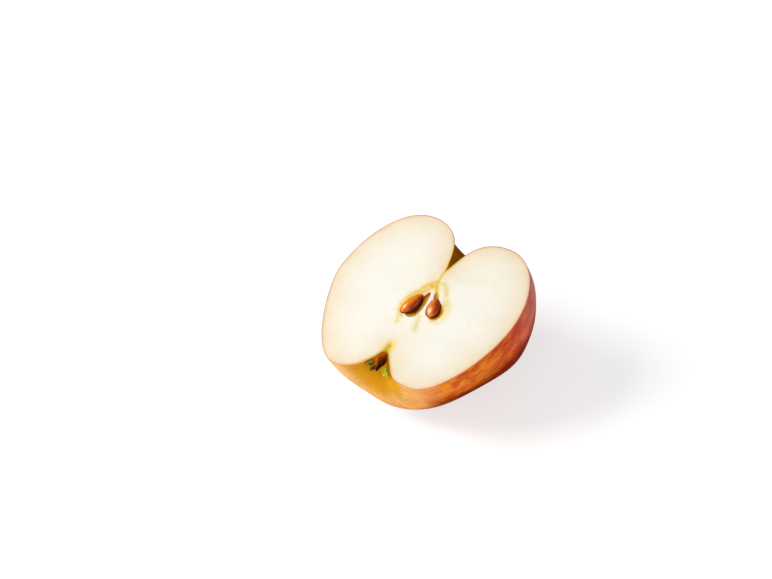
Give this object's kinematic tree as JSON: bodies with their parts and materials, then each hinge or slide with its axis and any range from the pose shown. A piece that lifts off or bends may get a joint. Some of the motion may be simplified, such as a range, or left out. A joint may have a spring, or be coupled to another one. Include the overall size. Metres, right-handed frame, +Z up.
{
  "type": "apple half",
  "caption": "Half of a round fruit cut from stem cavity to calyx, lying on its skin with the cut face, core and seeds up.",
  "frame": {"origin": "centre of the bounding box at its bottom, on the surface that the half lies on", "axes": "+X across the cut face, +Y level and towards the stem cavity, +Z up; the cut face slopes 17 degrees up towards +Y"},
  "size_m": [0.076, 0.0614, 0.044],
  "materials": {
    "flesh": "moist pale cream cut flesh",
    "peel": "waxy skin, yellow ground with red streaks",
    "seed_coat": "glossy chestnut brown seed coat",
    "dried_sepal": "dull olive dried leaf",
    "dried_stamen": "dull dark brown dried threads"
  },
  "bodies": {
    "root": {"fruit_half": "flesh", "seed_left": "seed_coat", "seed_right": "seed_coat", "sepal_left": "dried_sepal", "sepal_back": "dried_sepal", "sepal_right": "dried_sepal", "stamen_tuft": "dried_stamen"}
  },
  "joints": []
}
